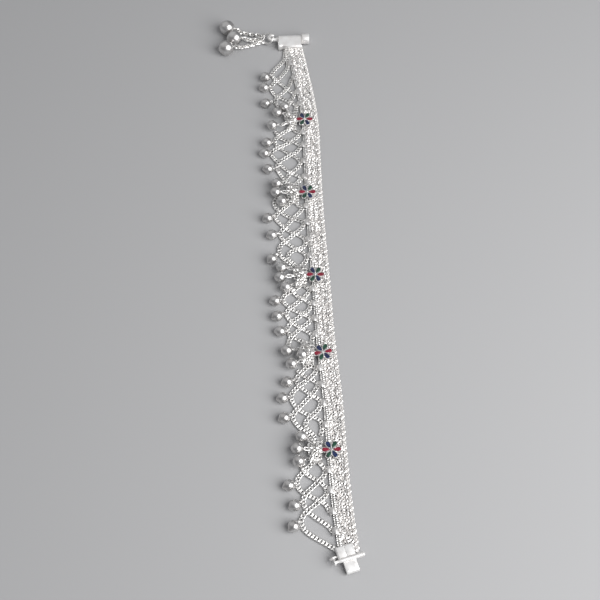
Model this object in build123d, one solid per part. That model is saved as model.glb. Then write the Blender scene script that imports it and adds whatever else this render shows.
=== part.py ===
"""Payal anklet, unclasped and lying open on the plane Z = 0.

Millimetres. +Y runs along the band towards the clasp that carries the tassel, +X is the side away
from the bells, +Z is up. The places below are in a lay frame; the last step moves every piece so
that the origin is the bottom centre of the whole anklet's box.
"""

import os
from math import atan2, cos, degrees, hypot, pi, radians, sin, tan

from build123d import *

# ---- driving dimensions -----------------------------------------------------------------------
gap = 0.1  # between neighbouring pieces

# Band: the route of its middle line, from the far clasp to the near one.
band_half_width = 4.05
bend_share = 0.45  # of a bend's shorter side, taken up by its arc
band_route = [  # x, y
    (-2.9, 146.0),
    (2.2, 119.0),
    (5.2, 98.0),
    (5.9, 70.0),
    (6.9, 42.0),
    (9.2, 10.0),
    (10.9, -22.0),
    (13.6, -46.0),
    (15.0, -74.0),
    (16.6, -94.0),
    (19.1, -114.0),
]
band_strands = [  # node, offset from the middle line, diameter, how far past the near cap's mouth
    ("band_flank", -3.42, 1.25, 0.0),
    ("band_chains", -1.88, 1.75, 0.0),
    ("band_chains", -0.08, 1.75, 0.0),
    ("band_chains", 1.72, 1.75, 0.0),
    ("band_rope", 3.35, 1.40, 2.6),
]

# Net: flat box chain that zigzags between the band and the bells.
chain_width = 1.9
chain_height = 1.0
foot_reach = 1.15  # a net's corners on the band lie this far outside the band's edge
net_feet = [  # y of each net's four corners on the band
    (134.6, 125.2, 116.0, 108.7),
    (91.4, 83.6, 74.2, 65.2),
    (48.6, 39.7, 30.6, 21.8),
    (4.8, -2.5, -10.0, -17.8),
    (-33.7, -41.3, -49.7, -59.3),
    (-78.9, -87.3, -95.9, -103.9),
]
net_strands = [  # per net: first foot, x and y of the bends, last foot; None for a free end
    [
        (
            None,
            [
                (-7.4, 142.2), (-7.6, 138.2), (-9.4, 135.1), (-11.9, 132.4),
                (-13.6, 129.8), (-13.7, 127.1), (-11.3, 124.1), (-4.2, 117.0),
            ],
            2,
        ),
        (
            0,
            [
                (-5.9, 132.4), (-9.4, 126.7), (-13.5, 122.0), (-14.3, 119.5),
                (-13.3, 116.4), (-11.2, 114.1), (-5.8, 111.6),
            ],
            3,
        ),
        (
            1,
            [
                (-4.8, 122.0), (-6.4, 118.6), (-10.5, 114.4), (-11.8, 112.4),
                (-11.9, 110.2), (-10.2, 107.7), (-4.3, 103.7),
            ],
            None,
        ),
        (2, [(-3.6, 113.1), (-5.1, 109.9), (-7.0, 106.8)], None),
        (3, [(-2.5, 103.4)], None),
    ],
    [
        (
            None,
            [
                (-4.1, 94.5), (-9.1, 91.0), (-10.9, 89.1), (-12.0, 87.1),
                (-11.6, 84.7), (-5.2, 79.2), (-1.6, 77.2),
            ],
            2,
        ),
        (
            0,
            [
                (-1.2, 89.1), (-3.6, 87.0), (-8.5, 83.5), (-11.1, 82.2), (-13.2, 80.6),
                (-13.5, 78.7), (-12.2, 76.4), (-5.6, 68.8), (-1.6, 66.8),
            ],
            3,
        ),
        (
            1,
            [
                (-0.7, 81.3), (-2.6, 79.5), (-7.5, 76.3), (-9.7, 74.5), (-10.8, 72.3),
                (-10.4, 69.4), (-8.9, 66.6), (-7.0, 64.1), (-3.0, 60.6),
            ],
            None,
        ),
        (None, [(-11.7, 92.7), (-10.1, 89.6), (-8.1, 87.5), (-2.8, 86.3), (-0.9, 85.1)], 1),
        (2, [(-0.4, 72.2), (-1.6, 70.4), (-3.7, 68.5), (-5.4, 66.6), (-7.6, 61.8)], None),
        (None, [(-3.0, 60.6), (-1.4, 62.1)], 3),
        (None, [(-4.1, 94.5), (-1.9, 92.7)], 0),
    ],
    [
        (
            None,
            [
                (-2.8, 52.6), (-4.6, 51.1), (-6.1, 49.0), (-10.3, 45.2), (-11.5, 43.3),
                (-10.4, 41.1), (-6.3, 36.8), (-4.3, 35.2), (0.0, 33.2), (1.6, 31.9),
            ],
            2,
        ),
        (
            0,
            [
                (0.5, 46.6), (-3.4, 42.2), (-5.0, 39.7), (-8.3, 35.7), (-9.1, 33.6),
                (-8.0, 31.4), (-5.8, 29.0), (-1.3, 25.8), (0.9, 24.6), (2.5, 23.2),
            ],
            3,
        ),
        (
            1,
            [
                (1.3, 37.7), (-2.5, 33.8), (-8.5, 28.2), (-9.4, 25.9),
                (-8.9, 23.2), (-7.5, 20.9), (-3.1, 17.1),
            ],
            None,
        ),
        (
            None,
            [
                (-9.1, 54.8), (-11.0, 53.4), (-12.0, 51.1), (-11.4, 48.5), (-9.6, 46.7),
                (-5.0, 43.1), (-2.7, 42.1), (-0.5, 41.5), (1.1, 40.7),
            ],
            1,
        ),
        (
            2,
            [
                (2.5, 28.2), (0.9, 26.4), (-3.8, 24.8), (-5.3, 23.0),
                (-5.2, 20.6), (-3.5, 18.6), (-1.3, 17.1),
            ],
            None,
        ),
        (3, [(2.9, 19.8), (0.2, 16.6)], None),
        (None, [(-2.8, 52.6), (-1.4, 50.5), (0.2, 48.9)], 0),
    ],
    [
        (
            None,
            [
                (0.9, 7.8), (-1.1, 5.8), (-3.3, 4.0), (-5.8, 2.8), (-7.4, 1.2),
                (-7.4, -1.0), (-5.6, -3.1), (-3.5, -4.8), (-1.3, -6.1), (3.0, -8.1),
            ],
            2,
        ),
        (
            0,
            [
                (3.3, 2.6), (1.3, 0.5), (-5.0, -5.2), (-6.2, -7.3),
                (-4.9, -9.7), (-2.8, -11.9), (-0.6, -13.6), (3.8, -16.1),
            ],
            3,
        ),
        (
            1,
            [
                (4.1, -4.9), (2.4, -6.8), (-2.2, -10.2), (-4.1, -12.1), (-5.6, -14.4),
                (-5.1, -16.6), (-3.2, -18.4), (-0.9, -19.8), (3.8, -21.9),
            ],
            None,
        ),
        (None, [(-3.9, 5.5), (-2.6, 3.2), (-0.9, 1.2), (3.3, -0.9)], 1),
        (2, [(3.7, -11.6), (-0.2, -14.8), (-3.6, -18.4), (-4.6, -20.4), (-5.1, -22.8)], None),
        (3, [(5.2, -19.9), (4.7, -21.9)], None),
        (None, [(0.9, 7.8), (2.6, 6.5)], 0),
    ],
    [
        (
            None,
            [
                (3.6, -32.3), (-1.3, -37.4), (-1.7, -39.3), (-0.2, -41.7),
                (2.1, -43.8), (6.7, -46.8), (8.3, -48.1),
            ],
            2,
        ),
        (
            0,
            [
                (6.5, -35.4), (4.8, -37.3), (-1.5, -42.7), (-3.4, -44.9), (-3.7, -47.0),
                (-2.5, -50.2), (-0.4, -52.3), (2.0, -53.9), (6.5, -55.9), (8.3, -57.0),
            ],
            3,
        ),
        (
            1,
            [
                (6.6, -42.6), (6.1, -44.3), (-1.8, -53.0), (-3.2, -55.0),
                (-2.4, -57.3), (-0.6, -59.8), (3.6, -63.9),
            ],
            None,
        ),
        (None, [(-1.0, -34.4), (0.8, -36.6), (5.2, -38.7), (7.1, -40.0)], 1),
        (2, [(7.8, -52.0), (5.9, -54.2), (2.0, -57.8), (2.4, -60.0), (4.3, -62.4), (6.1, -64.1)], None),
        (3, [(8.9, -62.0), (8.2, -63.9)], None),
        (None, [(3.6, -32.3), (5.5, -32.5)], 0),
    ],
    [
        (
            None,
            [
                (6.4, -74.1), (0.6, -80.2), (-0.9, -82.1), (-1.3, -84.4),
                (-0.2, -86.9), (2.0, -88.5), (9.0, -91.8), (10.8, -93.6),
            ],
            2,
        ),
        (
            0,
            [
                (9.3, -81.7), (3.2, -87.3), (1.8, -89.3), (1.1, -91.8),
                (2.2, -94.6), (4.5, -97.1), (9.7, -100.5), (11.6, -102.1),
            ],
            3,
        ),
        (
            1,
            [
                (10.0, -89.7), (3.5, -95.0), (1.5, -97.0), (0.2, -99.5),
                (1.4, -102.9), (3.9, -105.1), (12.1, -109.4),
            ],
            None,
        ),
        (None, [(1.2, -74.9), (0.8, -77.2), (1.8, -79.6), (4.2, -81.4), (9.1, -84.2)], 1),
        (None, [(6.4, -74.1), (8.4, -76.0), (9.8, -77.9)], 0),
    ],
]
clip_length, clip_width, clip_height = 3.4, 2.1, 0.7  # the oval clips over the band's edge

# Bells.
edge_bell_diameter = 4.7
cluster_bell_diameter = 4.8
tassel_bell_diameter = 7.4
loop_radius, loop_wire = 0.5, 0.4
edge_bells = [  # x, y, then x, y of the chain's corner it hangs on
    (-16.9, 125.1, -13.7, 127.1),
    (-17.3, 118.4, -14.3, 119.5),
    (-16.4, 108.5, -11.9, 110.2),
    (-15.4, 84.6, -11.6, 84.7),
    (-16.5, 78.3, -13.5, 78.7),
    (-14.7, 69.1, -10.4, 69.4),
    (-14.5, 41.5, -11.5, 43.3),
    (-12.5, 32.4, -9.1, 33.6),
    (-12.3, 19.7, -8.9, 23.2),
    (-10.6, -1.7, -7.4, -1.0),
    (-9.7, -9.3, -6.2, -7.3),
    (-8.3, -16.7, -5.1, -16.6),
    (-5.2, -40.6, -1.7, -39.3),
    (-7.1, -47.9, -3.7, -47.0),
    (-6.3, -56.7, -3.2, -55.0),
    (-4.3, -85.6, -1.3, -84.4),
    (-2.0, -93.8, 1.1, -91.8),
    (-2.4, -102.2, 0.2, -99.5),
]
cluster_bells = [  # x, y of the three at each flower
    ((-10.9, 101.8), (-7.4, 105.5), (-13.1, 94.1)),
    ((-10.6, 60.1), (-11.0, 55.1), (-8.2, 50.1)),
    ((-8.0, 14.6), (-8.6, 9.5), (-6.1, 4.6)),
    ((-5.5, -26.4), (0.9, -28.3), (-3.4, -32.6)),
    ((0.6, -65.4), (-1.1, -70.5), (-0.4, -75.9)),
]
cluster_bell_height = chain_height + gap + cluster_bell_diameter / 2

# Flowers, on the band's inner edge.
flowers = [  # x, y, turn in degrees
    (2.2, 98.3, 0.0),
    (3.3, 55.6, 0.0),
    (6.7, 11.3, 0.0),
    (9.7, -26.9, 12.0),
    (12.6, -70.7, 2.0),
]
flower_bottom, flower_height = 2.35, 0.9
petal_outer = (0.80, 0.36, 2.95, 1.16)  # inner circle's place and radius, outer circle's
petal_cup = (1.12, 0.16, 2.92, 0.88)  # the same for the cup that holds the enamel
cup_depth, enamel_height, enamel_gap = 0.50, 0.42, 0.03
flower_eye_radius, flower_eye_rise = 0.72, 0.28
petal_enamels = ["red", "green", "blue", "red", "green", "blue"]  # by 60 degrees from +X

# Gathered chains: a bundle beside each flower, one layer above the nets, with a short chain out
# to each of the three bells.
bundle_offset, bundle_half_length, bundle_width = -5.4, 4.6, 2.2
gather_width, gather_height, gather_bottom = 1.3, 0.9, 1.35
gather_arm_end = 3.2  # from the flower's middle to the tip of the arm that reaches under it
gather_rise = [1.9, 0.0, -3.4]  # where the bells' chains leave the bundle, along Y

# Far clasp: end cap with a barrel along its back, and the pin through the barrel. The near clasp's
# curl goes round the pin inside a slot in the barrel, which is open at the back.
far_place, far_turn = (-5.2, 149.7), 2.0
far_mouth = -5.8  # y of the end that takes the band, in the clasp's own frame with the pin at y = 0
far_back = -1.2  # y of the cap's other end
far_outline = [  # x, y
    (-5.9, far_back),
    (-5.9, -4.9),
    (-5.4, -5.5),
    (-3.3, -4.8),
    (-1.2, far_mouth),
    (5.8, far_mouth),
    (5.8, far_back),
]
far_bottom, far_top = 0.5, 3.9
cap_chamfer = 0.3
barrel_diameter, pin_height = 3.8, 2.7
barrel = (-5.9, 5.8)  # x from, to
slot = (-2.8, 3.2)  # x from, to
slot_diameter, slot_top = 2.9, 3.3
web_start, web_height = -1.4, 2.2  # of the web between the cap and the barrel
cheek_profile = [(0, 0.5), (3.4, 0.5), (3.4, 1.4), (1.5, 3.6), (0, 3.6)]  # y, z beside the slot
pin_diameter, pin_clearance = 1.5, 0.06
knob_diameter, knob_length, knob_round = 5.2, 3.9, 0.7
pin_bite = 0.5  # how far the pin runs into its knob
eye_x, eye_radius, eye_sweep = -8.6, 1.45, 235.0

# Tassel.
ring_radius, ring_wire = 2.4, 0.8
ring_swing, ring_tilt = 12.0, 28.0  # towards +Y in plan, and down from level
tassel_bell_places = [(-36.7, 156.5), (-32.9, 149.6), (-36.7, 142.9)]  # x, y
tassel_chain_diameter, tassel_chain_height = 2.2, 1.15
tassel_routes = [  # x, y on each chain, from the ring to the last bend before its bell
    [(-19.9, 153.5), (-25.8, 154.5), (-30.1, 155.6)],
    [(-19.9, 151.2), (-25.0, 150.1)],
    [(-19.9, 148.9), (-24.1, 147.4), (-28.6, 145.5)],
]

# Near clasp: end cap, cross rod and strip hook.
near_place, near_turn = (17.3, -112.2), 17.5
near_cap = (7.0, 4.8)  # along the rod, along the band
near_bottom, near_top = 0.2, 3.4
rod_diameter, rod_length, rod_round = 1.5, 12.1, 0.45
rod_place = (0.45, -3.1, 3.25)  # middle, in the clasp's own frame
flange_diameter, flange_thickness = 2.4, 0.6
hook_width, hook_thickness = 5.1, 0.55
hook_reach, hook_radius, hook_lip = 7.1, 1.3, 4.6  # to the curl's axis, its outside, the tip
hook_bottom = 0.1
hook_root = -1.0  # y where the strip starts inside the cap


# ---- helpers ----------------------------------------------------------------------------------
def turn_between(a, b, c):
    """Angle in radians by which the route a, b, c turns at b, positive to the left."""
    first = atan2(b[1] - a[1], b[0] - a[0])
    second = atan2(c[1] - b[1], c[0] - b[0])
    return (second - first + pi) % (2 * pi) - pi


def bend_radii(route):
    """The largest tangent arc at each inner point of a route."""
    radii = []
    for a, b, c in zip(route, route[1:], route[2:]):
        run = min(hypot(b[0] - a[0], b[1] - a[1]), hypot(c[0] - b[0], c[1] - b[1]))
        radii.append(bend_share * run / tan(abs(turn_between(a, b, c)) / 2))
    return radii


def beside(route, offset):
    """The route moved sideways, positive to the right of the way it runs when seen along +Y."""
    moved = []
    for i, here in enumerate(route):
        before, after = route[max(i - 1, 0)], route[min(i + 1, len(route) - 1)]
        back = atan2(here[1] - before[1], here[0] - before[0]) if i else None
        ahead = atan2(after[1] - here[1], after[0] - here[0]) if after != here else back
        back = ahead if back is None else back
        half = (ahead - back) / 2
        across = (back + ahead) / 2 + radians(90)
        reach = offset / cos(half)
        moved.append((here[0] + reach * cos(across), here[1] + reach * sin(across)))
    return moved


def band_x(y):
    """Where the band's middle line is at y."""
    for (x1, y1), (x2, y2) in zip(band_route, band_route[1:]):
        if y >= y2:
            return x1 + (x2 - x1) * (y1 - y) / (y1 - y2)
    return band_route[-1][0]


def edge_point(y, reach):
    """The point that lies reach outside the band's inner edge at y."""
    return (band_x(y) - band_half_width - reach, y)


def tube(route, diameter, height, radii):
    """A round bar along a level route of straight runs and tangent arcs."""
    points = [Vector(x, y, height) for x, y in route]
    path = FilletPolyline(*points, radius=radii) if radii else Line(*points)
    start = Plane(origin=path @ 0, z_dir=path % 0)
    return sweep(start * Circle(diameter / 2), path=path)


def flat_chain(points, width):
    """The outline of a flat chain that bends smoothly at its inner points, with round ends."""
    radii = bend_radii(points)
    path = FilletPolyline(*points, radius=radii) if radii else Line(*points)
    shape = trace(path, width)
    for x, y in (points[0], points[-1]):
        shape += Pos(x, y) * Circle(width / 2)
    return shape


def teardrop(inner_place, inner_radius, outer_place, outer_radius):
    """A petal's outline along +X."""
    ends = Pos(inner_place, 0) * Circle(inner_radius) + Pos(outer_place, 0) * Circle(outer_radius)
    return make_hull(ends.edges())


def bell(x, y, height, diameter, towards):
    """A ball with an upright loop on the side that faces towards."""
    way = degrees(atan2(towards[1] - y, towards[0] - x))
    ball = Sphere(diameter / 2)
    loop_x = diameter / 2 + loop_radius
    loop = Pos(loop_x, 0, 0) * Rot(90, 0, 0) * Torus(loop_radius, loop_wire / 2)
    neck = Pos(loop_x - loop_radius, 0, 0) * Rot(0, 90, 0) * Cylinder(loop_wire, loop_wire)
    return Pos(x, y, height) * Rot(0, 0, way) * (ball + loop + neck)


# ---- band -------------------------------------------------------------------------------------
def near_frame():
    return Pos(near_place[0], near_place[1], 0) * Rot(0, 0, near_turn)


def far_frame():
    return Pos(far_place[0], far_place[1], 0) * Rot(0, 0, far_turn)


def make_band(nodes):
    room = 40.0
    far_trim = far_frame() * Pos(0, far_mouth - gap + room / 2, 0) * Box(room, room, room)
    for name, offset, diameter, overrun in band_strands:
        # The route runs towards -Y, so an arc that turns left has its middle on the +X side.
        route = beside(band_route, offset)
        radii = [
            radius - offset if turn_between(a, b, c) > 0 else radius + offset
            for radius, a, b, c in zip(
                bend_radii(band_route), band_route, band_route[1:], band_route[2:]
            )
        ]
        strand = tube(route, diameter, diameter / 2, radii)
        mouth = near_cap[1] / 2 + gap - overrun
        near_trim = near_frame() * Pos(0, mouth - room / 2, 0) * Box(room, room, room)
        strand = strand - far_trim - near_trim
        nodes.setdefault(name, []).append(strand)


# ---- nets -------------------------------------------------------------------------------------
def net_routes(index):
    """The net's feet, and its chains as lists of points."""
    feet = [edge_point(y, foot_reach) for y in net_feet[index]]
    routes = []
    for first, bends, last in net_strands[index]:
        start = [] if first is None else [feet[first]]
        end = [] if last is None else [feet[last]]
        routes.append(start + bends + end)
    return feet, routes


def bundle_point(station, up):
    """A point on the bundle of chains beside a flower."""
    x, y, _ = flowers[station]
    return (x + bundle_offset, y + up)


def make_nets(nodes):
    for index in range(len(net_feet)):
        feet, routes = net_routes(index)
        outline = Sketch()
        for points in routes:
            outline += flat_chain(points, chain_width)
        net = extrude(outline, chain_height)
        clip_top = band_strands[0][2] + gap + clip_height
        for x, y in feet:
            post = Pos(x, y, 0) * extrude(Circle(chain_width / 2), clip_top)
            clip = Ellipse(clip_width / 2, clip_length / 2)
            clip_x = x + foot_reach + gap
            net += post + Pos(clip_x, y, clip_top - clip_height) * extrude(clip, clip_height)
        nodes[f"net_{index + 1}"] = [net]


# ---- bells ------------------------------------------------------------------------------------
def make_bells(nodes):
    for number, (x, y, corner_x, corner_y) in enumerate(edge_bells, 1):
        height = edge_bell_diameter / 2
        made = bell(x, y, height, edge_bell_diameter, (corner_x, corner_y))
        nodes[f"edge_bell_{number:02d}"] = [made]
    number = 0
    for station, three in enumerate(cluster_bells):
        for (x, y), rise in zip(three, gather_rise):
            number += 1
            anchor = bundle_point(station, rise)
            made = bell(x, y, cluster_bell_height, cluster_bell_diameter, anchor)
            nodes[f"cluster_bell_{number:02d}"] = [made]


# ---- gathered chains beside the flowers -------------------------------------------------------
def make_stations(nodes):
    clear = cluster_bell_diameter / 2 + 2 * loop_radius + gap + gather_width / 2
    for station, three in enumerate(cluster_bells):
        ends = [bundle_point(station, side * bundle_half_length) for side in (1, -1)]
        outline = flat_chain(ends, bundle_width)
        foot = bundle_point(station, 0)
        outline += flat_chain([foot, (flowers[station][0] - gather_arm_end, foot[1])], gather_width)
        for (x, y), rise in zip(three, gather_rise):
            start = bundle_point(station, rise)
            if hypot(start[0] - x, start[1] - y) > clear + gather_width:
                way = atan2(start[1] - y, start[0] - x)
                end = (x + clear * cos(way), y + clear * sin(way))
                outline += flat_chain([start, end], gather_width)
        part = Pos(0, 0, gather_bottom) * extrude(outline, gather_height)
        nodes.setdefault("station_chains", []).append(part)


# ---- flowers ----------------------------------------------------------------------------------
def make_flowers(nodes):
    rim = extrude(teardrop(*petal_outer), flower_height)
    cup = Pos(0, 0, flower_height - cup_depth) * extrude(teardrop(*petal_cup), flower_height)
    inner_place, inner_radius, outer_place, outer_radius = petal_cup
    fill_outline = teardrop(
        inner_place, inner_radius - enamel_gap, outer_place, outer_radius - enamel_gap
    )
    fill = Pos(0, 0, flower_height - cup_depth + enamel_gap) * extrude(fill_outline, enamel_height)
    middle = extrude(Circle(flower_eye_radius), flower_height + flower_eye_rise)
    turns = [60 * i for i in range(len(petal_enamels))]
    body = middle
    for turn in turns:
        body += Rot(0, 0, turn) * rim
    for turn in turns:
        body -= Rot(0, 0, turn) * cup
    for number, (x, y, turn) in enumerate(flowers, 1):
        place = Pos(x, y, flower_bottom) * Rot(0, 0, turn)
        nodes[f"flower_{number}"] = [place * body]
        for petal_turn, colour in zip(turns, petal_enamels):
            filled = place * Rot(0, 0, petal_turn) * fill
            nodes.setdefault(f"enamel_{colour}", []).append(filled)


# ---- clasps -----------------------------------------------------------------------------------
def bar_along_x(start, end, diameter, y, height):
    """A round bar along X between two places."""
    middle = (start + end) / 2
    return Pos(middle, y, height) * Rot(0, 90, 0) * Cylinder(diameter / 2, end - start)


def make_far_clasp(nodes):
    outline = make_face(Polyline(*far_outline, close=True))
    cap = Pos(0, 0, far_bottom) * extrude(outline, far_top - far_bottom)
    clasp = chamfer(cap.edges().group_by(Axis.Z)[-1], cap_chamfer)
    start, end = barrel
    slot_start, slot_end = slot
    web = Box(end - start, -web_start, web_height)
    clasp += Pos((start + end) / 2, web_start / 2, pin_height) * web
    clasp += bar_along_x(start, end, barrel_diameter, 0, pin_height)
    profile = Plane.YZ * make_face(Polyline(*cheek_profile, close=True))
    for left, right in ((start, slot_start), (slot_end, end)):
        clasp += Pos(left, 0, 0) * extrude(profile, right - left)
    bore = pin_diameter + 2 * pin_clearance
    clasp -= bar_along_x(start - 1, end + 1, bore, 0, pin_height)
    clasp -= bar_along_x(slot_start, slot_end, slot_diameter, 0, pin_height)
    mouth = Box(slot_end - slot_start, barrel_diameter, slot_top)
    clasp -= Pos((slot_start + slot_end) / 2, barrel_diameter / 2, slot_top / 2) * mouth
    nodes["far_clasp"] = [far_frame() * clasp]

    right = end + gap
    pin = bar_along_x(eye_x, right + pin_bite, pin_diameter, 0, pin_height)
    knob = bar_along_x(right, right + knob_length, knob_diameter, 0, pin_height)
    pin += fillet(knob.edges().filter_by(GeomType.CIRCLE), knob_round)
    middle = Plane(origin=(eye_x, 0, pin_height + eye_radius), x_dir=(1, 0, 0), z_dir=(0, -1, 0))
    arc = middle * CenterArc((0, 0, 0), eye_radius, -90, -eye_sweep)
    pin += sweep(Plane(origin=arc @ 0, z_dir=arc % 0) * Circle(pin_diameter / 2), path=arc)
    nodes["clasp_pin"] = [far_frame() * pin]


def make_near_clasp(nodes):
    block = Box(*near_cap, near_top - near_bottom)
    cap = Pos(0, 0, (near_bottom + near_top) / 2) * block
    cap = chamfer(cap.edges().group_by(Axis.Z)[-1], cap_chamfer)
    rod_x, rod_y, rod_z = rod_place
    rod_start = rod_x - rod_length / 2
    rod = bar_along_x(rod_start, rod_start + rod_length, rod_diameter, rod_y, rod_z)
    rod = fillet(rod.edges().filter_by(GeomType.CIRCLE), rod_round)
    flange = bar_along_x(rod_start, rod_start + flange_thickness, flange_diameter, rod_y, rod_z)
    # Strip hook: out of the cap, down round the curl and back underneath.
    middle = hook_radius - hook_thickness / 2
    curl_z = hook_bottom + hook_radius
    top_z = curl_z + middle
    low_z = curl_z - middle
    line = Line((0, hook_root, top_z), (0, -hook_reach, top_z))
    curl = ThreePointArc(
        (0, -hook_reach, top_z), (0, -hook_reach - middle, curl_z), (0, -hook_reach, low_z)
    )
    lip = Line((0, -hook_reach, low_z), (0, -hook_lip, low_z))
    path = line + curl + lip
    start = Plane(origin=(0, hook_root, top_z), x_dir=(1, 0, 0), z_dir=(0, -1, 0))
    section = start * Rectangle(hook_width, hook_thickness)
    hook = Pos(rod_x, 0, 0) * sweep(section, path=path)
    nodes["near_clasp"] = [near_frame() * (cap + rod + flange + hook)]


# ---- tassel -----------------------------------------------------------------------------------
def make_tassel(nodes):
    eye = far_frame() * Pos(eye_x, 0, pin_height + eye_radius)
    lean = Rot(0, 0, -ring_swing) * Rot(0, -ring_tilt, 0)
    ring = Pos(-ring_radius, 0, 0) * Torus(ring_radius, ring_wire / 2)
    nodes["tassel_ring"] = [Pos(*eye.position) * lean * ring]
    clear = tassel_bell_diameter / 2 + 2 * loop_radius + gap
    chains = []
    for number, ((x, y), points) in enumerate(zip(tassel_bell_places, tassel_routes), 1):
        last = points[-1]
        way = atan2(last[1] - y, last[0] - x)
        route = points + [(x + clear * cos(way), y + clear * sin(way))]
        chain = tube(route, tassel_chain_diameter, tassel_chain_height, bend_radii(route))
        chains.append(chain)
        height = tassel_bell_diameter / 2
        nodes[f"tassel_bell_{number}"] = [bell(x, y, height, tassel_bell_diameter, last)]
    nodes["tassel_chains"] = chains


# ---- build ------------------------------------------------------------------------------------
def main():
    nodes = {}
    make_band(nodes)
    make_nets(nodes)
    make_stations(nodes)
    make_bells(nodes)
    make_flowers(nodes)
    make_far_clasp(nodes)
    make_near_clasp(nodes)
    make_tassel(nodes)

    whole = Compound(children=[Compound(s.wrapped) for parts in nodes.values() for s in parts])
    box = whole.bounding_box()
    shift = Pos(-(box.min.X + box.max.X) / 2, -(box.min.Y + box.max.Y) / 2, -box.min.Z)
    os.makedirs("parts", exist_ok=True)
    for name, parts in nodes.items():
        solids = [shift * solid for part in parts for solid in part.solids()]
        export_step(Compound(solids) if len(solids) > 1 else solids[0], f"parts/{name}.step")
    print("box", box.size, "shift", shift.position)
    print("nodes", len(nodes))
    print("band radii", [round(radius) for radius in bend_radii(band_route)])


main()
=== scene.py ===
import math
import random

import bpy
from mathutils import Matrix, Vector


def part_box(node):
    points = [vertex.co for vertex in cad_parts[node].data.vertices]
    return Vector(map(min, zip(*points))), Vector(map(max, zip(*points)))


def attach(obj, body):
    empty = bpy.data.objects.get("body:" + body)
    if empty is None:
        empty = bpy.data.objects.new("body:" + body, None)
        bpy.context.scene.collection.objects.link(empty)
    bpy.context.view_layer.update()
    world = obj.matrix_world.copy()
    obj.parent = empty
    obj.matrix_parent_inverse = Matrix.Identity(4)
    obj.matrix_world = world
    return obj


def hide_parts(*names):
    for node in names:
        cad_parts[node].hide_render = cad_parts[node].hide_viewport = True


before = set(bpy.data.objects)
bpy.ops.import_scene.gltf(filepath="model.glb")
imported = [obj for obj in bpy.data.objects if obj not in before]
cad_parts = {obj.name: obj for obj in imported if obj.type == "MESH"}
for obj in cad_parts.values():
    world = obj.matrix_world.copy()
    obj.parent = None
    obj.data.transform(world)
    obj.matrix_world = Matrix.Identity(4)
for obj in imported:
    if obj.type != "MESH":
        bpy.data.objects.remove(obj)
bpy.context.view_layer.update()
bpy.ops.object.select_all(action="DESELECT")
random.seed(11)

mm = 0.001
up = Vector((0, 0, 1))

# how faces and points are picked by their place
facing = 0.9  # least part of a face's normal along an axis for it to face that way
outermost = 0.99  # share of a radius past which only the endmost point lies
touch = 0.05  # millimetres within which a point lies on a line


def boxCentre(node):
    low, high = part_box(node)
    return (low + high) / 2


# the lay frame: millimetres, level with the floor, tied to the first flower
firstFlower = {"x": 2.2, "y": 98.3}
layOrigin = boxCentre("flower_1") - Vector((firstFlower["x"], firstFlower["y"], 0)) * mm
layOrigin.z = 0


def lay(x, y, z=0.0):
    return layOrigin + Vector((x, y, z)) * mm


cameraView = {"elevation": 60, "distance": 470, "lens": 64.8, "clip": (0.01, 20)}

lift = math.radians(cameraView["elevation"])
bpy.ops.object.camera_add()
camera = bpy.context.object
camera.data.lens = cameraView["lens"]
camera.data.clip_start, camera.data.clip_end = cameraView["clip"]
camera.location = lay(0, -cameraView["distance"] * math.cos(lift), cameraView["distance"] * math.sin(lift))
camera.rotation_euler = (math.radians(90) - lift, 0, 0)
bpy.context.scene.camera = camera
bpy.context.scene.view_settings.view_transform = "Standard"
print("camera placed")

studio = {
    "worldColour": (0.95, 0.96, 1.0, 1),
    "worldStrength": 0.20,
    "key": {"place": (0.50, -0.30, 0.52), "size": 0.80, "power": 8.5},
    "fill": {"place": (-0.45, 0.45, 0.70), "size": 1.8, "power": 2.6},
    "floor": {"size": 6, "z": -0.00002, "colour": (0.42, 0.42, 0.425, 1), "roughness": 0.9},
}

world = bpy.data.worlds.new("studioWorld")
bpy.context.scene.world = world
world.use_nodes = True
backdrop = world.node_tree.nodes["Background"]
backdrop.inputs["Color"].default_value = studio["worldColour"]
backdrop.inputs["Strength"].default_value = studio["worldStrength"]

for lampName in ("key", "fill"):
    lamp = studio[lampName]
    bpy.ops.object.light_add(type="AREA", location=lamp["place"])
    light = bpy.context.object
    light.name = lampName + "Light"
    light.data.energy = lamp["power"]
    light.data.shape = "DISK"
    light.data.size = lamp["size"]
    light.rotation_euler = (-Vector(lamp["place"])).to_track_quat("-Z", "Y").to_euler()


def newMaterial(name):
    material = bpy.data.materials.new(name)
    material.use_nodes = True
    return material, material.node_tree, material.node_tree.nodes["Principled BSDF"]


floorLook = studio["floor"]
bpy.ops.mesh.primitive_plane_add(size=floorLook["size"], location=(0, 0, floorLook["z"]))
floor = bpy.context.object
floor.name = "floor"
floorMaterial, _, floorShader = newMaterial("paleFloor")
floorShader.inputs["Base Color"].default_value = floorLook["colour"]
floorShader.inputs["Roughness"].default_value = floorLook["roughness"]
floor.data.materials.append(floorMaterial)
print("studio set")


def pickOnly(*pieces):
    bpy.ops.object.select_all(action="DESELECT")
    for piece in pieces:
        piece.select_set(True)
    bpy.context.view_layer.objects.active = pieces[0]


def openEdit(piece, kind, listName, wanted):
    # opens the piece in edit mode with only the wanted faces or points selected
    pickOnly(piece)
    bpy.ops.object.mode_set(mode="EDIT")
    bpy.ops.mesh.select_mode(type=kind)
    bpy.ops.mesh.select_all(action="DESELECT")
    bpy.ops.object.mode_set(mode="OBJECT")
    for item in getattr(piece.data, listName):
        item.select = wanted(item)
    bpy.ops.object.mode_set(mode="EDIT")


def editFaces(piece, wanted):
    # wanted takes a face's centre in millimetres and its normal
    openEdit(piece, "FACE", "polygons", lambda face: wanted(face.center / mm, face.normal))


def editPoints(piece, wanted):
    openEdit(piece, "VERT", "vertices", lambda point: wanted(point.co / mm))


def editRun(piece, first, count):
    # a run of neighbouring points, by number
    openEdit(piece, "VERT", "vertices", lambda point: first <= point.index < first + count)


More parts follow.
